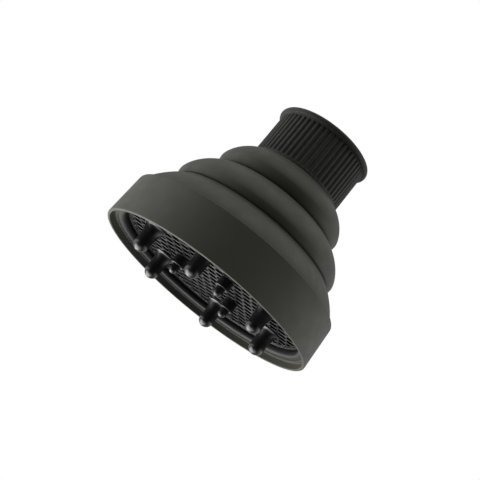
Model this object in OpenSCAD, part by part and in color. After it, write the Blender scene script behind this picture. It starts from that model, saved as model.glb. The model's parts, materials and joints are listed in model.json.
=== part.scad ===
// Collapsible hair dryer diffuser: a silicone bellows that folds in three stages, with a ribbed
// sleeve that stretches over the dryer's outlet and a rigid grille with massage fingers in its mouth.
// Millimetres. +Z runs from the mouth to the sleeve, and z = 0 is the plane that the tips of the
// long fingers stand on.

/* [Rim] */
// Outside diameter of the rim, at the mouth
rim_d = 130; // [128:0.5:134]
// Height of the band, from the mouth to the crease above it
band_h = 24.6; // [23:0.2:26]
// How much the band's radius shrinks from the mouth to its top corner
band_taper = 1.1; // [0.4:0.1:1.6]
// Wall of the band at the mouth
band_wall = 1.8; // [1.6:0.1:2.4]

/* [Bellows] */
// Outside diameter of the lower lobe's crown
lower_crown_d = 102.6; // [100:0.2:104]
// Outside diameter of the upper lobe's crown
upper_crown_d = 78.2; // [76:0.2:80]
// Height from one lobe's crown to the next
crown_pitch = 20.8; // [20:0.2:22]
// Wall of the stiff rings
ring_wall = 2; // [1.8:0.1:2.4]
// Wall of the thin webs that fold
web_wall = 1.3; // [1:0.1:1.6]

/* [Sleeve] */
// Diameter of the bore that stretches over the dryer's outlet
sleeve_bore_d = 48; // [46:0.5:49]
// Diameter over the grip ribs
sleeve_rib_d = 54.6; // [54:0.2:56]
// Length of the sleeve, rolled lip included
sleeve_len = 30.5; // [28:0.5:34]
// Diameter over the rolled lip
sleeve_lip_d = 58.4; // [57:0.2:60]
// Number of grip ribs
rib_count = 54; // [36:2:60]
// Height of a grip rib
rib_h = 0.8; // [0.6:0.1:1.2]

/* [Grille] */
// Depth of the plate's front face behind the mouth
plate_depth = 8.3; // [7.5:0.1:9]
// Thickness of the honeycomb plate
plate_t = 2.4; // [2:0.1:3]
// Distance between the centres of neighbouring cells
cell_pitch = 6.4; // [5.8:0.1:7]
// Width of the bars between cells
cell_bar = 1.3; // [0.9:0.1:1.6]

/* [Fingers] */
// Radius of the circle that the six long fingers stand on
long_ring_r = 41.5; // [40:0.5:43]
// Tip diameter of a long finger
long_d = 8.4; // [7:0.1:9]
// How far the long fingers reach out of the mouth
long_reach = 7.2; // [6:0.1:9]
// Radius of the circle that the three short fingers stand on
short_ring_r = 20.8; // [20:0.2:22]
// Tip diameter of a short finger
short_d = 4.7; // [4:0.1:5]
// How far the short fingers reach out of the mouth
short_reach = 1.9; // [1:0.1:3]

/* [Hidden] */

silicone = [0.24, 0.24, 0.23];
sleeve_silicone = [0.17, 0.17, 0.16];
nylon = [0.13, 0.13, 0.13];
gloss_nylon = [0.08, 0.08, 0.08];

round_fn = 96;        // facets drawn on a full turn
rim_z = long_reach;   // height of the mouth's plane above the finger tips
fit_gap = 0.05;       // clearance around pieces that are pushed together
cut_past = 1;         // how far a cut runs past the face it opens
cut_in = 0.2;         // how far a raised detail is sunk into what carries it

// Band: radii from the axis, and heights from the mouth's plane, as in all that follows
rim_r = rim_d / 2;
band_top_r = rim_r - band_taper;
lip_round = 0.9;              // rounding of the mouth's outer edge
corner_round = 1.2;           // rounding of the band's top corner
crease_in = 1.8;              // how far inside the band's corner the shoulder stands
crease_r = band_top_r - crease_in;
crease_cut = 0.4;             // width of the crease between them
waist_z = band_h - 5;         // where the inside of the band's wall starts to lean to the shoulder
waist_in = 1;                 // how much thicker the wall is there than at the seat

// Seat of the grille frame, inside the band
seat_wall = 3.1;              // wall left around the seat
seat_r = rim_r - seat_wall;
seat_front_z = 4.1;
snap_t = 1.5;                 // height of the snap ring behind the plate
seat_back_z = plate_depth + plate_t + snap_t;
front_bead = 0.8;             // how far the soft bead in front of the frame grips over it
bead_t = 0.7;                 // thickness of that bead at its edge
bead_root = 1.1;              // and where it leaves the wall
back_shelf = 1.6;             // how far the shelf behind the frame reaches inwards
shelf_t = 2;

// Bellows: each corner is [radius, height]
shoulder_drop = 2.3;          // how much lower the shoulder is than a whole lobe
lower_crown = [lower_crown_d / 2, band_h + crown_pitch - shoulder_drop];
upper_crown = [upper_crown_d / 2, lower_crown[1] + crown_pitch];
shoulder_foot = [crease_r, band_h];
shoulder_tuck = [1.7, 4.1];   // how far the valley under the lower crown lies in and down from it
shoulder_valley = lower_crown - shoulder_tuck;
lobe_tuck = [2.5, 5.7];       // the same under the upper crown
lobe_valley = upper_crown - lobe_tuck;
neck_in = 0.1;                // how far the neck lies inside the tops of the ribs
neck_rise = 13;               // height of the neck above the upper crown
neck = [sleeve_rib_d / 2 - neck_in, upper_crown[1] + neck_rise];
ring_rise = 4;                // how far a stiff ring reaches above its crown
valley_drop = 0.9;            // a wall's height at a valley, as a part of its thickness
foot_lap = 1.4;               // the shoulder's width at its foot, as a part of its thickness
rise_power = 1.8;             // bulge of a lobe below its crown
fall_power = 1.5;             // and above it
shoulder_power = 1.2;         // bulge of the shoulder
point_gap = 0.2;              // closest that a line's points come to where it is cut

// Sleeve
bore_r = sleeve_bore_d / 2;
rib_tip_r = sleeve_rib_d / 2;
rib_root_r = rib_tip_r - rib_h;
lip_r = sleeve_lip_d / 2;
sleeve_top_z = neck[1] + sleeve_len;
rib_root_part = 0.32;         // half a rib's width at its root, as a part of the ribs' spacing
rib_tip_part = 0.18;          // and at its tip
foot_h = 1.2;                 // smooth stretch under the ribs
lip_h = 3.6;                  // height of the rolled lip
flare = 1.2;                  // rounding of the bore's mouth

// Grille
frame_r = seat_r - fit_gap;
frame_w = 4.6;                // width of the frame's front
frame_bore_r = seat_r - frame_w;
frame_round = 2.2;            // rounding of the frame's front edge
plate_lap = 2.2;              // how far the frame reaches over the plate
plate_r = frame_bore_r + plate_lap;
plate_seat_r = plate_r + fit_gap;
plate_back_z = plate_depth + plate_t;
snap_bead = 0.4;              // how far the snap ring's bead stands out into its groove
snap_wall = 2;
snap_mid_z = (plate_back_z + seat_back_z) / 2;
border_w = 1;                 // raised border around the plate
border_h = 0.4;
border_gap = 0.3;             // gap between the border and the frame
border_land = 2;              // solid land from the border's edge to the first cells
border_r = frame_bore_r - border_gap;
cell_field_r = border_r - border_land;
cell_corner_r = (cell_pitch - cell_bar) / (2 * cos(30));
row_pitch = cell_pitch * sin(60);
row_reach = ceil(cell_field_r / row_pitch);

// Fingers: each is pressed through the plate from the front and staked behind it. The long ones
// flare out to a pad on the plate, and the short ones stand on a wider post.
finger_turn = 15;             // the first long finger's direction, which the rows of cells follow
long_count = 6;
short_count = 3;
short_turn = finger_turn + 180 / long_count;
long_pad_r = 6.8;
post_r = 3.9;
pad_t = 0.5;
flare_h = 8.5;                // height over which a long finger flares out
post_h = 5.2;                 // height of a short finger's post
post_edge = 0.3;              // chamfer around the top of the post
spigot_part = 0.6;            // spigot radius, as a part of the tip's radius
head_h = 0.9;
head_over = 0.9;              // how far the staked head spreads over the plate

// Points on an arc about `centre`, from angle a0 to a1.
function arc(centre, r, a0, a1, steps) = [
    for (i = [0:steps]) let (a = a0 + (a1 - a0) * i / steps) centre + r * [cos(a), sin(a)]
];

// A quarter of a superellipse that leaves `crown` upright and turns inwards to `end`.
// A power of 2 is an ellipse, and 1 is a straight line.
function quarter(crown, end, power, steps) = [
    for (i = [0:steps]) let (a = 90 * i / steps) [
        end[0] + (crown[0] - end[0]) * pow(cos(a), 2 / power),
        crown[1] + (end[1] - crown[1]) * pow(sin(a), 2 / power)
    ]
];

function reversed(list) = [for (i = [len(list) - 1:-1:0]) list[i]];

// One lobe's line from the valley below its crown to the valley above it, `wall` inside its skin.
function lobe_line(below, crown, above, wall) = let (
    inner_crown = crown - [wall, 0],
    inner_below = below - [wall, -valley_drop * wall],
    inner_above = above - [wall, valley_drop * wall],
    rise = reversed(quarter(inner_crown, inner_below, rise_power, 5)),
    fall = quarter(inner_crown, inner_above, fall_power, 12)
) concat([below - [wall, 0]], rise, [for (i = [1:12]) fall[i]], [above - [wall, 0]]);

// The shoulder's line, which has no lower half.
function shoulder_line(wall) = let (
    foot = shoulder_foot - [foot_lap * wall, 0],
    top = shoulder_valley - [wall, valley_drop * wall]
) concat([foot], quarter(foot, top, shoulder_power, 10), [shoulder_valley - [wall, 0]]);

// The part of a line between two heights, with a point of its own at each.
function between(line, low, high) = let (
    radius_at = [for (p = line) [p[1], p[0]]]
) concat(
    [[lookup(low, radius_at), low]],
    [for (p = line) if (p[1] > low + point_gap && p[1] < high - point_gap) p],
    [[lookup(high, radius_at), high]]
);

// Turns an outline about the axis.
module turned(outline) {
    translate([0, 0, rim_z]) rotate_extrude($fn = round_fn) polygon(outline);
}

// A ring of wall between two heights, with `outer` as its skin and `inner` as its inside.
module wall_ring(outer, inner, low, high) {
    turned(concat(between(outer, low, high), reversed(between(inner, low, high))));
}

module lower_lobe_wall(wall, low, high) {
    wall_ring(
        lobe_line(shoulder_valley, lower_crown, lobe_valley, 0),
        lobe_line(shoulder_valley, lower_crown, lobe_valley, wall),
        low, high
    );
}

module upper_lobe_wall(wall, low, high) {
    wall_ring(
        lobe_line(lobe_valley, upper_crown, neck, 0),
        lobe_line(lobe_valley, upper_crown, neck, wall),
        low, high
    );
}

// Silicone band around the mouth, with the seat that the grille frame snaps into.
module rim_band() {
    color(silicone) turned(concat(
        [[rim_r - band_wall, 0]],
        arc([rim_r - lip_round, lip_round], lip_round, -90, 0, 5),
        arc([band_top_r - corner_round, band_h - corner_round], corner_round, 0, 75, 6),
        [
            [crease_r - crease_cut, band_h],
            [crease_r - ring_wall, band_h],
            [seat_r - waist_in, waist_z],
            [seat_r - back_shelf, seat_back_z + shelf_t],
            [seat_r - back_shelf, seat_back_z],
            [seat_r, seat_back_z],
            [seat_r, seat_front_z],
            [seat_r - front_bead, seat_front_z],
            [seat_r - front_bead, seat_front_z - bead_t],
            [rim_r - band_wall, seat_front_z - bead_root],
        ]
    ));
}

// Thin web between the band and the lower lobe, which turns inside out as the bellows folds.
module shoulder_web() {
    color(silicone) wall_ring(
        shoulder_line(0), shoulder_line(web_wall), shoulder_foot[1], shoulder_valley[1]
    );
}

module lower_lobe_ring() {
    color(silicone) lower_lobe_wall(ring_wall, shoulder_valley[1], lower_crown[1] + ring_rise);
}

module lower_lobe_web() {
    color(silicone) lower_lobe_wall(web_wall, lower_crown[1] + ring_rise, lobe_valley[1]);
}

module upper_lobe_ring() {
    color(silicone) upper_lobe_wall(ring_wall, lobe_valley[1], upper_crown[1] + ring_rise);
}

module upper_lobe_web() {
    color(silicone) upper_lobe_wall(web_wall, upper_crown[1] + ring_rise, neck[1]);
}

// Outline of the ribs, seen along the axis.
function rib_outline() = let (step = 360 / rib_count) [
    for (i = [0:rib_count - 1]) for (corner = [
        [-rib_root_part, rib_root_r], [-rib_tip_part, rib_tip_r],
        [rib_tip_part, rib_tip_r], [rib_root_part, rib_root_r]
    ]) let (a = (i + corner[0]) * step) corner[1] * [cos(a), sin(a)]
];

// Sleeve that stretches over the dryer's outlet, with grip ribs and a rolled lip.
module ribbed_sleeve() {
    color(sleeve_silicone) difference() {
        union() {
            translate([0, 0, rim_z + neck[1]]) cylinder(r = neck[0], h = foot_h, $fn = round_fn);
            translate([0, 0, rim_z + neck[1] + foot_h])
                linear_extrude(sleeve_len - foot_h - lip_h) polygon(rib_outline());
            turned(concat(
                [[0, sleeve_top_z - lip_h]],
                arc([lip_r - lip_h / 2, sleeve_top_z - lip_h / 2], lip_h / 2, -90, 90, 12),
                [[0, sleeve_top_z]]
            ));
        }
        turned(concat(
            [[0, neck[1] - cut_past], [bore_r, neck[1] - cut_past]],
            arc([bore_r + flare, sleeve_top_z - flare], flare, 180, 90, 4),
            [[bore_r + flare, sleeve_top_z + cut_past], [0, sleeve_top_z + cut_past]]
        ));
    }
}

// Rigid ring that snaps into the band and carries the plate.
module grille_frame() {
    color(nylon) turned(concat(
        arc([frame_bore_r + frame_round, seat_front_z + frame_round], frame_round, 180, 270, 8),
        [
            [frame_r, seat_front_z],
            [frame_r, seat_back_z],
            [plate_seat_r, seat_back_z],
            [plate_seat_r, snap_mid_z + snap_bead],
            [plate_seat_r + snap_bead, snap_mid_z],
            [plate_seat_r, snap_mid_z - snap_bead],
            [plate_seat_r, plate_depth],
            [frame_bore_r, plate_depth],
        ]
    ));
}

// Ring that snaps into the frame's groove behind the plate.
module plate_snap_ring() {
    color(nylon) turned([
        [plate_r - snap_wall, plate_back_z],
        [plate_r, plate_back_z],
        [plate_r, snap_mid_z - snap_bead],
        [plate_r + snap_bead, snap_mid_z],
        [plate_r, snap_mid_z + snap_bead],
        [plate_r, seat_back_z],
        [plate_r - snap_wall, seat_back_z],
    ]);
}

// Places its child at finger i of a ring of `count`.
module at_finger(ring_r, count, start, i) {
    rotate(start + i * 360 / count) translate([ring_r, 0]) children();
}

// Places its child at every finger.
module at_long_fingers() {
    for (i = [0:long_count - 1]) at_finger(long_ring_r, long_count, finger_turn, i) children();
}

module at_short_fingers() {
    for (i = [0:short_count - 1]) {
        at_finger(short_ring_r, short_count, short_turn, i) children();
    }
}

// All the cells of the honeycomb, in the plane of the plate.
module cells() {
    rotate(finger_turn) for (row = [-row_reach:row_reach]) {
        shift = row % 2 == 0 ? 0 : cell_pitch / 2;
        half = floor((sqrt(max(0, pow(cell_field_r, 2) - pow(row * row_pitch, 2))) - shift) / cell_pitch);
        for (i = [-half - (shift > 0 ? 1 : 0):half]) {
            translate([i * cell_pitch + shift, row * row_pitch]) rotate(30) circle(cell_corner_r, $fn = 6);
        }
    }
}

// Honeycomb plate, with a solid land and a hole for each finger.
module honeycomb_plate() {
    color(nylon) translate([0, 0, rim_z + plate_depth]) linear_extrude(plate_t) difference() {
        circle(plate_r, $fn = round_fn);
        difference() {
            intersection() {
                circle(cell_field_r, $fn = round_fn);
                cells();
            }
            at_long_fingers() circle(long_pad_r, $fn = round_fn);
            at_short_fingers() circle(post_r, $fn = round_fn);
        }
        at_long_fingers() circle(long_d / 2 * spigot_part + fit_gap, $fn = round_fn);
        at_short_fingers() circle(short_d / 2 * spigot_part + fit_gap, $fn = round_fn);
    }
    color(nylon) turned([
        [border_r - border_w, plate_depth + cut_in],
        [border_r - border_w, plate_depth - border_h],
        [border_r, plate_depth - border_h],
        [border_r, plate_depth + cut_in],
    ]);
}

// Side of a long finger, from its tip to the edge of its pad.
function flared_side(tip_r) = quarter(
    [tip_r, plate_depth - flare_h], [long_pad_r, plate_depth - pad_t], 2, 8
);

// Side of a short finger, from its tip to the edge of its post.
function stepped_side(tip_r) = [
    [tip_r, plate_depth - post_h],
    [post_r - post_edge, plate_depth - post_h],
    [post_r, plate_depth - post_h + post_edge],
];

// One massage finger on its own axis: round tip, side, foot, spigot and staked head.
module finger(tip_r, reach, side) {
    spigot_r = tip_r * spigot_part;
    color(gloss_nylon) turned(concat(
        arc([0, tip_r - reach], tip_r, -90, 0, 8),
        side,
        [
            [side[len(side) - 1][0], plate_depth],
            [spigot_r, plate_depth],
            [spigot_r, plate_back_z],
            [spigot_r + head_over, plate_back_z],
            [spigot_r + head_over / 2, plate_back_z + head_h],
            [0, plate_back_z + head_h],
        ]
    ));
}

module long_finger(i) {
    at_finger(long_ring_r, long_count, finger_turn, i - 1)
        finger(long_d / 2, long_reach, flared_side(long_d / 2));
}

module short_finger(i) {
    at_finger(short_ring_r, short_count, short_turn, i - 1)
        finger(short_d / 2, short_reach, stepped_side(short_d / 2));
}

rim_band();
shoulder_web();
lower_lobe_ring();
lower_lobe_web();
upper_lobe_ring();
upper_lobe_web();
ribbed_sleeve();
grille_frame();
honeycomb_plate();
plate_snap_ring();
long_finger(1);  // long_finger_1
long_finger(2);  // long_finger_2
long_finger(3);  // long_finger_3
long_finger(4);  // long_finger_4
long_finger(5);  // long_finger_5
long_finger(6);  // long_finger_6
short_finger(1);  // short_finger_1
short_finger(2);  // short_finger_2
short_finger(3);  // short_finger_3
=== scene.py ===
import json
import math

import bmesh
import bpy
from mathutils import Matrix, Vector


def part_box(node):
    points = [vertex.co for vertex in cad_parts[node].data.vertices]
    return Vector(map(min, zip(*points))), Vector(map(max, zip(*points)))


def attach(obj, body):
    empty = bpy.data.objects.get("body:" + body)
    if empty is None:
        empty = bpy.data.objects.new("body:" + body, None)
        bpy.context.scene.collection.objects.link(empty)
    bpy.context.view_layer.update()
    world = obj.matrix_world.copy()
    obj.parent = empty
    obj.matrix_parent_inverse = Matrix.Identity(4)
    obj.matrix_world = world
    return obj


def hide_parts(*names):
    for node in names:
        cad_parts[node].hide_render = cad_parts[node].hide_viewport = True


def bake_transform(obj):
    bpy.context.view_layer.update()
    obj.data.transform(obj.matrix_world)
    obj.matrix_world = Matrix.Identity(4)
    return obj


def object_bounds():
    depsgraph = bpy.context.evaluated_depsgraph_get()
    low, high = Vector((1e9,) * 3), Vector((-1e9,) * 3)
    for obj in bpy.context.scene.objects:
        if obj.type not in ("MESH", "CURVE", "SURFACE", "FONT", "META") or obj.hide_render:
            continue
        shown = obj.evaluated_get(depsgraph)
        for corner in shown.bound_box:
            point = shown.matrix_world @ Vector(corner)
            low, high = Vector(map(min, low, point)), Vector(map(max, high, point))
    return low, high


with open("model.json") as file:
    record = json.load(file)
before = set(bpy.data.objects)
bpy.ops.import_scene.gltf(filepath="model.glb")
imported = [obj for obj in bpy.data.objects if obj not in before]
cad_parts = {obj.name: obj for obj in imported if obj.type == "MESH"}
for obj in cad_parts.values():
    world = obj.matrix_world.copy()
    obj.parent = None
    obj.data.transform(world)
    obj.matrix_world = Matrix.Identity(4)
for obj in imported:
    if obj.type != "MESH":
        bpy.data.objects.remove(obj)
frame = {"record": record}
cad_low, cad_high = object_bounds()

MM = 0.001


# ---------------------------------------------------------------- sizes, from the frame

def low_z(node):
    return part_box(node)[0][2]


def high_z(node):
    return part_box(node)[1][2]


def outer_r(node):
    low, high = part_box(node)
    return max(high[0] - low[0], high[1] - low[1]) / 2


mouth_z = low_z("rim_band")
rim_r = outer_r("rim_band")
crease_z = high_z("rim_band")
shoulder_r = outer_r("shoulder_web")
lower_valley_z = low_z("lower_lobe_ring")
lower_crown_r = outer_r("lower_lobe_ring")
lower_web_z = high_z("lower_lobe_ring")
upper_valley_z = low_z("upper_lobe_ring")
upper_crown_r = outer_r("upper_lobe_ring")
upper_web_z = high_z("upper_lobe_ring")
neck_z = low_z("ribbed_sleeve")
top_z = high_z("ribbed_sleeve")
lip_r = outer_r("ribbed_sleeve")
bore_r = frame["record"]["mounts"][0]["dims"]["r_mm"] * MM
frame_r = outer_r("grille_frame")
frame_front_z = low_z("grille_frame")
frame_back_z = high_z("grille_frame")
plate_r = outer_r("honeycomb_plate")
plate_front_z = low_z("honeycomb_plate")
plate_back_z = high_z("honeycomb_plate")

# What the frame doesn't give. A point of an outline is (radius, height).
border_h = 0.4 * MM                        # how far the plate's border stands out in front
plate_low_z = plate_front_z + border_h     # the plate's own face, behind its border
band_wall = 1.8 * MM
ring_wall = 2.0 * MM
web_wall = 1.3 * MM
neck_r = 27.2 * MM
shoulder_tuck_r = 1.7 * MM                 # how far the valley lies inside the lower crown
shoulder_tuck_z = 4.1 * MM                 # and how far below it
lobe_tuck_r = 2.5 * MM                     # the same for the upper crown
lobe_tuck_z = 5.7 * MM
lower_crown = (lower_crown_r, lower_valley_z + shoulder_tuck_z)
upper_crown = (upper_crown_r, upper_valley_z + lobe_tuck_z)
lower_valley = (lower_crown_r - shoulder_tuck_r, lower_valley_z)
upper_valley = (upper_crown_r - lobe_tuck_r, upper_valley_z)
neck = (neck_r, neck_z)


# ---------------------------------------------------------------- outlines

STRAIGHT = 0.02        # half angle, short of a right angle, that counts as no corner
SIDE_SHARE = 0.48      # most of a side that one rounding may take
SAME_POINT = 1e-6      # points closer than this are one point
SAME_VERTEX = 1e-7     # and so are a turned mesh's vertices


def quarter(crown, end, power, steps):
    """A quarter of a superellipse that leaves crown upright and turns inwards to end."""
    points = []
    for i in range(steps + 1):
        a = math.pi / 2 * i / steps
        points.append((
            end[0] + (crown[0] - end[0]) * max(math.cos(a), 0) ** (2 / power),
            crown[1] + (end[1] - crown[1]) * math.sin(a) ** (2 / power),
        ))
    return points


def arc(centre, radius, start, end, steps):
    """Points on an arc in the outline's plane, between two angles in degrees."""
    angles = [math.radians(start + (end - start) * i / steps) for i in range(steps + 1)]
    return [(centre[0] + radius * math.cos(a), centre[1] + radius * math.sin(a)) for a in angles]


def smooth(x):
    """A soft step from 0 to 1."""
    x = min(max(x, 0), 1)
    return x * x * (3 - 2 * x)


def moved(point, dr, dz):
    return (point[0] + dr, point[1] + dz)


def fillet(corners, steps=5):
    """Rounds the corners of a closed outline. Each corner is (radius, height, rounding)."""
    points = []
    count = len(corners)
    for i, (r, z, rounding) in enumerate(corners):
        here = Vector((r, z))
        back = Vector(corners[i - 1][:2]) - here
        ahead = Vector(corners[(i + 1) % count][:2]) - here
        half_turn = back.angle(ahead) / 2
        if rounding <= 0 or half_turn > math.pi / 2 - STRAIGHT:
            points.append((r, z))
            continue
        longest = SIDE_SHARE * min(back.length, ahead.length)
        reach = min(rounding / math.tan(half_turn), longest)
        start = here + back.normalized() * reach
        end = here + ahead.normalized() * reach
        for k in range(steps + 1):
            t = k / steps
            point = start * (1 - t) ** 2 + here * 2 * t * (1 - t) + end * t ** 2
            points.append((point.x, point.y))
    return points


def plain(points):
    """Points of a curve as corners with no rounding, for fillet()."""
    return [(r, z, 0) for r, z in points]


# ---------------------------------------------------------------- meshes

def finished(name, mesh, body, material, slot, *nodes):
    """A piece that replaces nodes and rides body, or rides nothing when no body is given."""
    piece = bpy.data.objects.new(name, mesh)
    bpy.context.scene.collection.objects.link(piece)
    mesh.materials.append(material)
    mesh.shade_smooth()
    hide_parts(*nodes)
    if body:
        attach(piece, body)
    return piece


def cleaned(points):
    """The same outline without points that lie on top of each other."""
    kept = []
    for point in points:
        if not kept or math.dist(point, kept[-1]) > SAME_POINT:
            kept.append(point)
    if math.dist(kept[0], kept[-1]) < SAME_POINT:
        kept.pop()
    return kept


def lathe(name, outline, steps, radius_at=None):
    """Turns a closed outline, given against the clock, about the axis."""
    outline = cleaned(outline)
    rows = len(outline)
    verts = []
    for j in range(steps):
        a = 2 * math.pi * j / steps
        for i, (r, z) in enumerate(outline):
            if radius_at:
                r = radius_at(r, z, a)
            verts.append((r * math.cos(a), r * math.sin(a), z))
    faces = []
    for j in range(steps):
        here, there = j * rows, (j + 1) % steps * rows
        for i in range(rows):
            k = (i + 1) % rows
            faces.append((here + i, there + i, there + k, here + k))
    mesh = bpy.data.meshes.new(name)
    mesh.from_pydata(verts, [], faces)
    bm = bmesh.new()
    bm.from_mesh(mesh)
    bmesh.ops.remove_doubles(bm, verts=bm.verts, dist=SAME_VERTEX)
    bmesh.ops.recalc_face_normals(bm, faces=bm.faces)
    bm.to_mesh(mesh)
    bm.free()
    return mesh


def weigh_normals(piece):
    weighted = piece.modifiers.new("even_shading", "WEIGHTED_NORMAL")
    weighted.keep_sharp = True


# ---------------------------------------------------------------- materials

# How fine each noise is: the larger, the finer
CLOUD_SCALE = 45
PATCH_SCALE = 60
SWELL_SCALE = 90
GLOSS_SCALE = 160
SPECK_SCALE = 1400
GLOSS_SPREAD = 0.06            # how far the roughness strays to either side
SWELL_STRENGTH = 0.35
SWELL_H = 0.25 * MM            # height of the slow swell of a moulded skin
GRAIN_H = 0.06 * MM            # height of its fine grain
DUST_GAINS = (2.4, 3.2)        # how much paler than the skin dust is, at least and at most


def link(tree, a, a_out, b, b_in):
    tree.links.new(a.outputs[a_out], b.inputs[b_in])


def new_node(tree, kind, **settings):
    node = tree.nodes.new(kind)
    for key, value in settings.items():
        if key in node.inputs:
            node.inputs[key].default_value = value
        else:
            setattr(node, key, value)
    return node


def noise(tree, place, scale, detail=3.0, rough=0.55):
    node = tree.nodes.new("ShaderNodeTexNoise")
    node.inputs["Scale"].default_value = scale
    node.inputs["Detail"].default_value = detail
    node.inputs["Roughness"].default_value = rough
    link(tree, place, "Object", node, "Vector")
    return node


def ramp(tree, source, out, low, high, a, b):
    """Spreads the part of a noise between low and high over the values or colours a to b."""
    node = tree.nodes.new("ShaderNodeValToRGB")
    node.color_ramp.elements[0].position = low
    node.color_ramp.elements[1].position = high
    for element, value in zip(node.color_ramp.elements, (a, b)):
        rgb = value if isinstance(value, tuple) else (value, value, value)
        element.color = (*rgb, 1)
    link(tree, source, out, node, "Fac")
    return node


def mixed(tree, fac, a, b):
    node = tree.nodes.new("ShaderNodeMix")
    node.data_type = "RGBA"
    tree.links.new(fac, node.inputs["Factor"])
    tree.links.new(a, node.inputs["A"])
    tree.links.new(b, node.inputs["B"])
    return node.outputs["Result"]


def scaled(rgb, gain):
    return tuple(c * gain for c in rgb)


def moulded(name, rgb, roughness, grain, grain_size, variation, specular, dust=0.0):
    """A moulded plastic or rubber: mottled colour, uneven gloss, a fine grain and a little dust."""
    material = bpy.data.materials.new(name)
    material.use_nodes = True
    tree = material.node_tree
    shader = tree.nodes["Principled BSDF"]
    place = tree.nodes.new("ShaderNodeTexCoord")
    clouds = noise(tree, place, CLOUD_SCALE, detail=4)
    colour = ramp(
        tree, clouds, "Fac", 0.3, 0.7, scaled(rgb, 1 - variation), scaled(rgb, 1 + variation)
    ).outputs["Color"]
    if dust:
        specks = noise(tree, place, SPECK_SCALE, detail=2, rough=0.7)
        patches = noise(tree, place, PATCH_SCALE, detail=3)
        speck = ramp(tree, specks, "Fac", 0.66, 0.78, 0.0, 1.0)
        patch = ramp(tree, patches, "Fac", 0.42, 0.68, 0.0, dust)
        amount = new_node(tree, "ShaderNodeMath", operation="MULTIPLY")
        tree.links.new(speck.outputs["Color"], amount.inputs[0])
        tree.links.new(patch.outputs["Color"], amount.inputs[1])
        least, most = (scaled(rgb, gain) for gain in DUST_GAINS)
        pale = ramp(tree, clouds, "Fac", 0.0, 1.0, least, most)
        colour = mixed(tree, amount.outputs[0], colour, pale.outputs["Color"])
    tree.links.new(colour, shader.inputs["Base Color"])
    gloss = noise(tree, place, GLOSS_SCALE, detail=5)
    smoothest = roughness - GLOSS_SPREAD
    roughest = roughness + GLOSS_SPREAD
    uneven = ramp(tree, gloss, "Fac", 0.3, 0.7, smoothest, roughest)
    tree.links.new(uneven.outputs["Color"], shader.inputs["Roughness"])
    fine = noise(tree, place, 1 / grain_size, detail=2)
    swell = noise(tree, place, SWELL_SCALE, detail=2)
    first = new_node(tree, "ShaderNodeBump", Strength=SWELL_STRENGTH, Distance=SWELL_H)
    link(tree, swell, "Fac", first, "Height")
    second = new_node(tree, "ShaderNodeBump", Strength=grain, Distance=GRAIN_H)
    link(tree, fine, "Fac", second, "Height")
    link(tree, first, "Normal", second, "Normal")
    link(tree, second, "Normal", shader, "Normal")
    shader.inputs["Specular IOR Level"].default_value = specular
    return material


silicone = moulded(
    "silicone", (0.050, 0.050, 0.038), roughness=0.52, grain=0.45, grain_size=0.35 * MM,
    variation=0.07, specular=0.35, dust=0.35
)
dark_silicone = moulded(
    "sleeve_silicone", (0.032, 0.034, 0.026), roughness=0.56, grain=0.4, grain_size=0.35 * MM,
    variation=0.07, specular=0.25, dust=0.25
)
nylon = moulded(
    "nylon", (0.007, 0.007, 0.007), roughness=0.28, grain=0.2, grain_size=0.5 * MM,
    variation=0.1, specular=0.5
)
# The frame is duller than the plate, though both are the same nylon
matt_nylon = moulded(
    "matt_nylon", (0.010, 0.010, 0.010), roughness=0.55, grain=0.3, grain_size=0.5 * MM,
    variation=0.1, specular=0.35, dust=0.2
)
gloss_nylon = moulded(
    "gloss_nylon", (0.009, 0.009, 0.010), roughness=0.24, grain=0.12, grain_size=0.6 * MM,
    variation=0.1, specular=0.55
)


# ---------------------------------------------------------------- bellows

TURN = 256                     # steps around a turned piece
RISE_POWER = 1.8               # bulge of a lobe below its crown
LOWER_FALL_POWER = 1.5         # and above it
UPPER_FALL_POWER = 1.52
SHOULDER_POWER = 1.2           # bulge of the shoulder
VALLEY_DROP = 0.9              # a wall's height at a valley, as a part of its thickness
FOOT_LAP = 1.4                 # the shoulder's width at its foot, as a part of its thickness
SLIM_OUT = 0.4                 # how a lobe's inside moves out and up where it thins to a web,
SLIM_UP = 0.5                  # as parts of what the wall loses
VALLEY_GAP = 0.4 * MM          # space left between a lobe's inside and the valley above it

band_taper = 1.1 * MM
crease_gap = 0.1 * MM          # how far the band's corner stands clear of the crease
foot_in = 0.2 * MM             # where the shoulder's skin starts, from its foot
foot_up = 0.6 * MM
seat_wall = 3.1 * MM           # wall left outside the frame's seat
waist_in = 1.0 * MM            # where the inside of the band leans to the shoulder
waist_drop = 5 * MM
shelf_in = 1.6 * MM            # shelf behind the frame
shelf_t = 2.0 * MM
bead_in = 0.8 * MM             # bead in front of the frame
bead_t = 0.4 * MM
bead_root = 0.2 * MM


def lobe_shell(valley, crown, top, power_up, web_from):
    """A lobe's closed outline: up its skin, then down its inside, thick at the ring, thin at the web."""
    skin = quarter(crown, valley, RISE_POWER, 14)[::-1] + quarter(crown, top, power_up, 40)[1:]
    inner_crown = moved(crown, -ring_wall, 0)
    inner_top = moved(top, -web_wall, -VALLEY_DROP * web_wall)
    inner_valley = moved(valley, -ring_wall, VALLEY_DROP * ring_wall)
    inside = quarter(inner_crown, inner_valley, RISE_POWER, 10)[::-1]
    fall = quarter(inner_crown, inner_top, power_up, 30)[1:]
    slim = ring_wall - web_wall
    for r, z in fall:
        share = smooth((z - crown[1]) / (web_from - crown[1]))
        inside.append((r + slim * SLIM_OUT * share, z + slim * SLIM_UP * share))
    inside = [p for p in inside if p[1] <= top[1] - VALLEY_GAP]
    lower_lip = moved(valley, -ring_wall, 0)
    upper_lip = moved(top, -web_wall, 0)
    return skin + [upper_lip] + inside[::-1] + [lower_lip]


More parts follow.
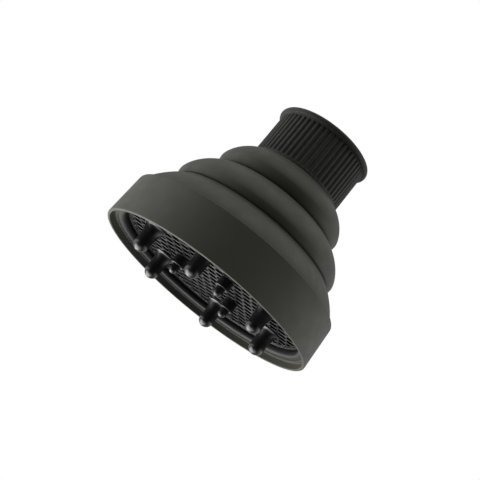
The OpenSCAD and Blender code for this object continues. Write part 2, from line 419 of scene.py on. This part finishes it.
def rim_shell():
    """The band, its seat for the frame, and the shoulder up to the first valley."""
    corner_r = rim_r - band_taper
    foot = (shoulder_r, crease_z)
    seat_r = rim_r - seat_wall
    skin = quarter(moved(foot, -foot_in, foot_up), lower_valley, SHOULDER_POWER, 36)
    inside = quarter(
        moved(foot, -FOOT_LAP * web_wall, 0),
        moved(lower_valley, -web_wall, -VALLEY_DROP * web_wall), SHOULDER_POWER, 24
    )
    return fillet([
        (rim_r - band_wall, mouth_z, 0.35 * MM),
        (rim_r, mouth_z, 0.8 * MM),
        (corner_r, crease_z + crease_gap, 0.9 * MM),
        (shoulder_r + crease_gap, crease_z + crease_gap, 0.35 * MM),
    ] + plain(skin[1:]) + [
        (lower_valley[0] - ring_wall, lower_valley[1], 0),
    ] + plain(inside[::-1]) + [
        (shoulder_r - ring_wall, crease_z, 0.6 * MM),
        (seat_r - waist_in, crease_z - waist_drop, 1.5 * MM),
        (seat_r - shelf_in, frame_back_z + shelf_t, 0.5 * MM),
        (seat_r - shelf_in, frame_back_z, 0.3 * MM),
        (seat_r, frame_back_z, 0),
        (seat_r, frame_front_z, 0),
        (seat_r - bead_in, frame_front_z, 0.2 * MM),
        (seat_r - bead_in, frame_front_z - bead_t, 0.2 * MM),
        (rim_r - band_wall, frame_front_z - bead_root, 0.3 * MM),
    ])


def build_bellows():
    rim = finished(
        "silicone_rim_and_shoulder", lathe("silicone_rim_and_shoulder", rim_shell(), TURN),
        None, silicone, "silicone", "rim_band", "shoulder_web"
    )
    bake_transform(rim)
    lower = finished(
        "silicone_lower_lobe",
        lathe("silicone_lower_lobe", lobe_shell(
            lower_valley, lower_crown, upper_valley, LOWER_FALL_POWER, lower_web_z), TURN),
        None, silicone, "silicone", "lower_lobe_ring", "lower_lobe_web"
    )
    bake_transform(lower)
    upper = finished(
        "silicone_upper_lobe",
        lathe("silicone_upper_lobe", lobe_shell(
            upper_valley, upper_crown, neck, UPPER_FALL_POWER, upper_web_z), TURN),
        None, silicone, "silicone", "upper_lobe_ring", "upper_lobe_web"
    )
    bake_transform(upper)
    for piece in (rim, lower, upper):
        weigh_normals(piece)


# ---------------------------------------------------------------- sleeve

RIBS = 54
RIB_STEPS = 12                        # steps around the sleeve for each rib
WALL_STEPS = 12                       # steps along the ribs
CREST = 0.3                           # flatness of a rib's crest, from 0 for a round one
rib_h = 0.75 * MM
rib_top_r = neck_r + 0.1 * MM
lip_h = 3.6 * MM
rib_low_z = neck_z + 1.4 * MM
rib_high_z = top_z - lip_h - 0.1 * MM
low_fade = 0.9 * MM                   # height over which the ribs rise from the foot
high_fade = 0.35 * MM                 # and end under the lip
skin_depth = 1.2 * MM                 # points further in than this belong to the bore
lip_clear = 0.2 * MM                  # and points higher than this to the lip


def ribbed(r, z, a):
    """Outer skin of the sleeve: ribs that fade out at both ends."""
    if r < neck_r - skin_depth or z > rib_high_z + lip_clear:
        return r
    phase = (a / (2 * math.pi) * RIBS) % 1
    groove = smooth(abs(2 * phase - 1) * (1 + CREST) - CREST)
    fade = smooth((z - rib_low_z) / low_fade) * smooth((rib_high_z - z) / high_fade)
    return r - rib_h * fade * groove


def build_sleeve():
    length = rib_high_z - rib_low_z
    wall = [rib_low_z + length * i / WALL_STEPS for i in range(1, WALL_STEPS)]
    foot = [rib_low_z + step * MM for step in (0, 0.2, 0.45, 0.7, 0.95)]
    head = [rib_high_z - step * MM for step in (0.4, 0.3, 0.2, 0.1, 0)]
    roll_r = lip_h / 2
    outline = fillet([
        (bore_r, neck_z, 0.4 * MM),
        (neck_r, neck_z, 0.4 * MM),
    ] + plain([(rib_top_r, z) for z in foot + wall + head]) + plain(
        arc((lip_r - roll_r, top_z - roll_r), roll_r, -82, 90, 18)
    ) + [
        (bore_r, top_z, 1.2 * MM),
    ], 7)
    finished(
        "silicone_ribbed_sleeve",
        lathe("silicone_ribbed_sleeve", outline, RIBS * RIB_STEPS, ribbed),
        "sleeve", dark_silicone, "sleeve_silicone", "ribbed_sleeve"
    )


# ---------------------------------------------------------------- grille

CELL = 6.4 * MM                # distance between the centres of neighbouring cells
BAR = 1.3 * MM                 # width of the bars between them
BAR_BEVEL = 0.22 * MM
ROW_TURN = math.radians(15)
RING = 18                      # points round a cell
SHARP_SHARE = 0.16             # how far along the sides a corner's outer points lie, where cells meet
ROUND_SHARE = 0.14             # and around the hole, where the corner is round between them
BEVEL_KNEE = 0.3               # where the front's bevel bends, as a part of it
MEETING = 2e-6                 # neighbouring cells' points this close are joined
FIELD_STEPS = 192              # steps around the plate
FULL_REACH = 0.8               # how many cells the honeycomb runs past its field, before it is cut
frame_w = 4.55 * MM
frame_bore_r = frame_r - frame_w
frame_gap = 0.05 * MM          # clearance between the plate and the frame
snap_wall = 2 * MM
border_w = 1 * MM
border_gap = 0.3 * MM          # gap between the border and the frame
border_land = 2 * MM           # from the border's edge to the first cells
border_r = frame_bore_r - border_gap
field_r = border_r - border_land
field_lap = 0.3 * MM           # how far the cells run on into the plate's rim
rim_lap = 0.5 * MM             # and the rim over the outermost cells
land_proud = 0.06 * MM         # how far a finger's land stands out behind the plate


def build_frame():
    outline = fillet([
        (frame_bore_r, plate_low_z, 0),
        (frame_bore_r, frame_front_z, 2.2 * MM),
        (frame_r, frame_front_z, 0.4 * MM),
        (frame_r, frame_back_z, 0.3 * MM),
        (plate_r + frame_gap, frame_back_z, 0.2 * MM),
        (plate_r + frame_gap, plate_low_z, 0),
    ], 7)
    piece = finished(
        "nylon_grille_frame", lathe("nylon_grille_frame", outline, TURN),
        "rim", matt_nylon, "nylon", "grille_frame"
    )
    weigh_normals(piece)
    outline = fillet([
        (plate_r - snap_wall, plate_back_z, 0.2 * MM),
        (plate_r, plate_back_z, 0.2 * MM),
        (plate_r, frame_back_z, 0.3 * MM),
        (plate_r - snap_wall, frame_back_z, 0.4 * MM),
    ])
    piece = finished(
        "nylon_snap_ring", lathe("nylon_snap_ring", outline, TURN),
        "rim", nylon, "nylon", "plate_snap_ring"
    )
    weigh_normals(piece)


def cell_ring(centre, apothem, corner_share, z):
    """Three points at each corner of a cell: one on it, and one to each side, set back along the sides.

    The middle ones are drawn in to round the corner, except on the outermost ring, where cells meet.
    """
    outermost = apothem == CELL / 2
    reach = apothem / math.cos(math.pi / 6)
    corners = [
        Vector((reach * math.cos(a), reach * math.sin(a)))
        for a in (ROW_TURN + math.pi / 6 + math.pi / 3 * k for k in range(6))
    ]
    points = []
    for k in range(6):
        here, back, ahead = corners[k], corners[k - 1], corners[(k + 1) % 6]
        start = here.lerp(back, corner_share)
        end = here.lerp(ahead, corner_share)
        middle = here if outermost else start * 0.25 + here * 0.5 + end * 0.25
        points += [(*(centre + p), z) for p in (start, middle, end)]
    return points


def honeycomb():
    """The cells as one closed slab, reaching past the field that shows."""
    hole = (CELL - BAR) / 2
    reach = field_r + FULL_REACH * CELL
    row_step = CELL * math.sin(math.pi / 3)
    rows = math.ceil(reach / row_step)
    turn = Matrix.Rotation(ROW_TURN, 2)
    cells = {}
    for row in range(-rows, rows + 1):
        for column in range(-rows - 1, rows + 1):
            flat = Vector(((column + (row % 2) / 2) * CELL, row * row_step))
            if flat.length < reach:
                cells[(row, round(flat.x / CELL * 2))] = turn @ flat
    levels = [
        # apothem, corner rounding, height
        (CELL / 2, SHARP_SHARE, plate_low_z),
        (hole + BAR_BEVEL, ROUND_SHARE, plate_low_z),
        (hole + BEVEL_KNEE * BAR_BEVEL, ROUND_SHARE, plate_low_z + BEVEL_KNEE * BAR_BEVEL),
        (hole, ROUND_SHARE, plate_low_z + BAR_BEVEL),
        (hole, ROUND_SHARE, plate_back_z - BAR_BEVEL),
        (hole + BAR_BEVEL, ROUND_SHARE, plate_back_z),
        (CELL / 2, SHARP_SHARE, plate_back_z),
    ]
    last = RING * (len(levels) - 1)
    # The cell across each side, as steps in rows and in half columns
    neighbours = [(0, 2), (1, 1), (1, -1), (0, -2), (-1, -1), (-1, 1)]
    verts, faces = [], []
    for (row, column), centre in cells.items():
        base = len(verts)
        for apothem, share, z in levels:
            verts += cell_ring(centre, apothem, share, z)
        for level in range(len(levels) - 1):
            start = base + level * RING
            for i in range(RING):
                a, b = start + i, start + (i + 1) % RING
                faces.append((a, b, b + RING, a + RING))
        for side, (row_by, column_by) in enumerate(neighbours):
            if (row + row_by, column + column_by) in cells:
                continue
            for i in (3 * side - 2, 3 * side - 1, 3 * side):
                a, b = base + i % RING, base + (i + 1) % RING
                faces.append((b, a, a + last, b + last))
    mesh = bpy.data.meshes.new("honeycomb")
    mesh.from_pydata(verts, [], faces)
    bm = bmesh.new()
    bm.from_mesh(mesh)
    bmesh.ops.remove_doubles(bm, verts=bm.verts, dist=MEETING)
    bmesh.ops.recalc_face_normals(bm, faces=bm.faces)
    bm.to_mesh(mesh)
    bm.free()
    return mesh


def disc(name, radius, low, high, steps, rounding):
    """A round slab on the axis."""
    outline = fillet([
        (0, low, 0), (radius, low, rounding), (radius, high, rounding), (0, high, 0)
    ])
    return lathe(name, outline, steps)


def clipped(mesh, tool):
    """What of mesh lies inside tool."""
    target = bpy.data.objects.new("clip_target", mesh)
    cutter = bpy.data.objects.new("clip_tool", tool)
    for item in (target, cutter):
        bpy.context.scene.collection.objects.link(item)
    cut = target.modifiers.new("clip", "BOOLEAN")
    cut.operation = "INTERSECT"
    cut.solver = "EXACT"
    cut.object = cutter
    shape = target.evaluated_get(bpy.context.evaluated_depsgraph_get())
    result = bpy.data.meshes.new_from_object(shape)
    for item in (target, cutter):
        bpy.data.objects.remove(item)
    return result


LONG_FINGERS = [f"long_finger_{i}" for i in range(1, 7)]
SHORT_FINGERS = [f"short_finger_{i}" for i in range(1, 4)]


def finger_axis(node):
    low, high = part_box(node)
    return Vector(((low[0] + high[0]) / 2, (low[1] + high[1]) / 2, 0))


def build_plate():
    field = clipped(honeycomb(), disc(
        "field", field_r + field_lap, plate_low_z - MM, plate_back_z + MM, FIELD_STEPS, 0))
    border = lathe("border", fillet([
        (field_r - rim_lap, plate_low_z, 0.2 * MM),
        (border_r - border_w, plate_low_z, 0.2 * MM),
        (border_r - border_w, plate_front_z, 0.3 * MM),
        (border_r, plate_front_z, 0.3 * MM),
        (border_r, plate_low_z, 0.1 * MM),
        (plate_r, plate_low_z, 0.12 * MM),
        (plate_r, plate_back_z, 0.12 * MM),
        (field_r - rim_lap, plate_back_z, 0.12 * MM),
    ], 4), FIELD_STEPS)
    bm = bmesh.new()
    bm.from_mesh(field)
    bm.from_mesh(border)
    for node in LONG_FINGERS + SHORT_FINGERS:
        land = disc("land", outer_r(node), plate_low_z, plate_back_z + land_proud, 48, 0.2 * MM)
        land.transform(Matrix.Translation(finger_axis(node)))
        bm.from_mesh(land)
    mesh = bpy.data.meshes.new("nylon_honeycomb")
    bm.to_mesh(mesh)
    bm.free()
    piece = finished(
        "nylon_honeycomb_plate", mesh, "rim", nylon, "nylon", "honeycomb_plate"
    )
    weigh_normals(piece)


# ---------------------------------------------------------------- fingers

long_tip_r = 4.2 * MM
short_tip_r = 2.35 * MM
flare_h = 8.5 * MM             # height over which a long finger flares out to its pad
pad_t = 0.5 * MM
pad_edge = 0.1 * MM            # rim left around the flare's foot
post_h = 5.2 * MM              # height of a short finger's post
SPIGOT_PART = 0.6              # spigot radius, as a part of the tip's
head_over = 0.9 * MM           # how far the staked head spreads over the plate
head_top = 0.5 * MM            # and its flat top


def build_finger(node):
    low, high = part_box(node)
    foot_r = outer_r(node)
    long = node in LONG_FINGERS
    tip_r = long_tip_r if long else short_tip_r
    spigot_r = tip_r * SPIGOT_PART
    outline = arc((0, low[2] + tip_r), tip_r, -90, 0, 18)
    if long:
        pad_z = plate_low_z - pad_t
        flare = quarter((tip_r, plate_low_z - flare_h), (foot_r - pad_edge, pad_z), 2, 24)
        outline += fillet(plain(flare) + [
            (foot_r, pad_z, 0.2 * MM),
            (foot_r, plate_low_z, 0.05 * MM),
        ])
    else:
        step_z = plate_low_z - post_h
        outline += fillet([
            (tip_r, step_z, 0.5 * MM),
            (foot_r, step_z, 0.45 * MM),
            (foot_r, plate_low_z, 0.05 * MM),
        ])
    outline += fillet([
        (spigot_r, plate_low_z, 0),
        (spigot_r, plate_back_z, 0),
        (spigot_r + head_over, plate_back_z, 0.1 * MM),
        (spigot_r + head_top, high[2], 0.4 * MM),
        (0, high[2], 0),
    ])
    mesh = lathe(node, outline, 64)
    mesh.transform(Matrix.Translation(finger_axis(node)))
    piece = finished(f"massage_{node}", mesh, "rim", gloss_nylon, "gloss_nylon", node)
    weigh_normals(piece)


# ---------------------------------------------------------------- studio

# Soft glows around the object: where each one is, how tight it is, and how strong
GLOWS = [
    ((-1, 0, 0), 6, 1.75),
    ((1, 0, 0), 6, 1.4),
    ((-0.7, 0.7, 0), 6, 0.7),
    ((0.7, 0.7, 0), 6, 0.8),
    ((0, 0, 1), 3, 1.15),
    ((-0.7, -0.2, 0.7), 4, 0.2),
    ((0.7, -0.2, 0.7), 4, 0.2),
    ((0, 0, -1), 12, 4.5),
    ((-0.15, 0.93, -0.34), 10, 0.5),
]


def build_world():
    """White to the camera, and soft glows from several sides to the object."""
    world = bpy.data.worlds.new("studio")
    world.use_nodes = True
    tree = world.node_tree
    tree.nodes.clear()
    place = tree.nodes.new("ShaderNodeTexCoord")
    total = new_node(tree, "ShaderNodeValue")
    total.outputs[0].default_value = 0.0
    for towards, tightness, strength in GLOWS:
        facing = new_node(tree, "ShaderNodeVectorMath", operation="DOT_PRODUCT")
        link(tree, place, "Generated", facing, 0)
        facing.inputs[1].default_value = Vector(towards).normalized()
        ahead = new_node(tree, "ShaderNodeMath", operation="MAXIMUM")
        tree.links.new(facing.outputs["Value"], ahead.inputs[0])
        ahead.inputs[1].default_value = 0
        spread = new_node(tree, "ShaderNodeMath", operation="POWER")
        tree.links.new(ahead.outputs[0], spread.inputs[0])
        spread.inputs[1].default_value = tightness
        added = new_node(tree, "ShaderNodeMath", operation="MULTIPLY_ADD")
        tree.links.new(spread.outputs[0], added.inputs[0])
        added.inputs[1].default_value = strength
        tree.links.new(total.outputs[0], added.inputs[2])
        total = added
    lit = new_node(tree, "ShaderNodeBackground", Color=(1, 1, 1, 1))
    tree.links.new(total.outputs[0], lit.inputs["Strength"])
    seen = new_node(tree, "ShaderNodeBackground", Color=(1, 1, 1, 1), Strength=1.0)
    path = tree.nodes.new("ShaderNodeLightPath")
    mix = tree.nodes.new("ShaderNodeMixShader")
    link(tree, path, "Is Camera Ray", mix, "Fac")
    tree.links.new(lit.outputs[0], mix.inputs[1])
    tree.links.new(seen.outputs[0], mix.inputs[2])
    out = tree.nodes.new("ShaderNodeOutputWorld")
    tree.links.new(mix.outputs[0], out.inputs["Surface"])
    bpy.context.scene.world = world


FLOOR_HALF = 4.0
FLOOR_COLOUR = (0.86, 0.86, 0.86, 1)


def build_floor():
    """A pale floor that shows from above only, so that the low camera sees past it."""
    mesh = bpy.data.meshes.new("floor")
    half = FLOOR_HALF
    corners = [(-half, -half, 0), (half, -half, 0), (half, half, 0), (-half, half, 0)]
    mesh.from_pydata(corners, [], [(0, 1, 2, 3)])
    floor = bpy.data.objects.new("floor", mesh)
    bpy.context.scene.collection.objects.link(floor)
    material = bpy.data.materials.new("pale_floor")
    material.use_nodes = True
    tree = material.node_tree
    shader = tree.nodes["Principled BSDF"]
    shader.inputs["Base Color"].default_value = FLOOR_COLOUR
    shader.inputs["Roughness"].default_value = 0.6
    shader.inputs["Specular IOR Level"].default_value = 0.1
    clear = tree.nodes.new("ShaderNodeBsdfTransparent")
    geometry = tree.nodes.new("ShaderNodeNewGeometry")
    mix = tree.nodes.new("ShaderNodeMixShader")
    link(tree, geometry, "Backfacing", mix, "Fac")
    tree.links.new(shader.outputs[0], mix.inputs[1])
    tree.links.new(clear.outputs[0], mix.inputs[2])
    tree.links.new(mix.outputs[0], tree.nodes["Material Output"].inputs["Surface"])
    mesh.materials.append(material)
    floor.visible_diffuse = False
    floor.visible_glossy = False
    floor.visible_transmission = False
    floor.visible_shadow = False


# Where the camera looks, from where, and how it is turned about its own line of sight
SIGHT_X = -2.66 * MM
SIGHT_SHARE = 0.3619           # height of what it looks at, as a part of the object's
DISTANCE = 4.487               # in heights of the object
ELEVATION = math.radians(-15.32)
AZIMUTH = math.radians(0.29)
ROLL = math.radians(39.2)
SENSOR = 36                    # mm
LENS = 72.75                   # mm


def build_camera():
    """Below the mouth's plane, looking up at the band, with the axis leaning to the right."""
    height = cad_high[2] - cad_low[2]
    target = Vector((SIGHT_X, 0, SIGHT_SHARE * height))
    ahead = Vector((
        -math.sin(AZIMUTH) * math.cos(ELEVATION),
        math.cos(AZIMUTH) * math.cos(ELEVATION),
        -math.sin(ELEVATION),
    ))
    right = ahead.cross(Vector((0, 0, 1))).normalized()
    up = right.cross(ahead)
    rolled_up = up * math.cos(ROLL) - right * math.sin(ROLL)
    rolled_right = right * math.cos(ROLL) + up * math.sin(ROLL)
    data = bpy.data.cameras.new("camera")
    data.sensor_width = SENSOR
    data.lens = LENS
    camera = bpy.data.objects.new("camera", data)
    turn = Matrix((rolled_right, rolled_up, -ahead)).transposed()
    place = Matrix.Translation(target - ahead * DISTANCE * height)
    camera.matrix_world = place @ turn.to_4x4()
    bpy.context.scene.collection.objects.link(camera)
    bpy.context.scene.camera = camera


BOX_PLACE = Vector((-0.28, 0.2, -0.5))
BOX_AIM = Vector((0, 0, 0.05))
BOX_SIZE = (0.8, 0.5)
BOX_POWER = 7.0                # watts


def build_light():
    """A soft box below and behind the mouth, for the rim's edge and the finger tips."""
    data = bpy.data.lights.new("under_box", "AREA")
    data.shape = "RECTANGLE"
    data.size, data.size_y = BOX_SIZE
    data.energy = BOX_POWER
    lamp = bpy.data.objects.new("under_box", data)
    lamp.location = BOX_PLACE
    lamp.rotation_euler = (BOX_AIM - BOX_PLACE).to_track_quat("-Z", "Y").to_euler()
    lamp.visible_camera = False
    bpy.context.scene.collection.objects.link(lamp)


build_bellows()
build_sleeve()
build_frame()
build_plate()
for finger_node in LONG_FINGERS + SHORT_FINGERS:
    build_finger(finger_node)
build_world()
build_floor()
build_light()
build_camera()
bpy.context.scene.view_settings.view_transform = "Standard"
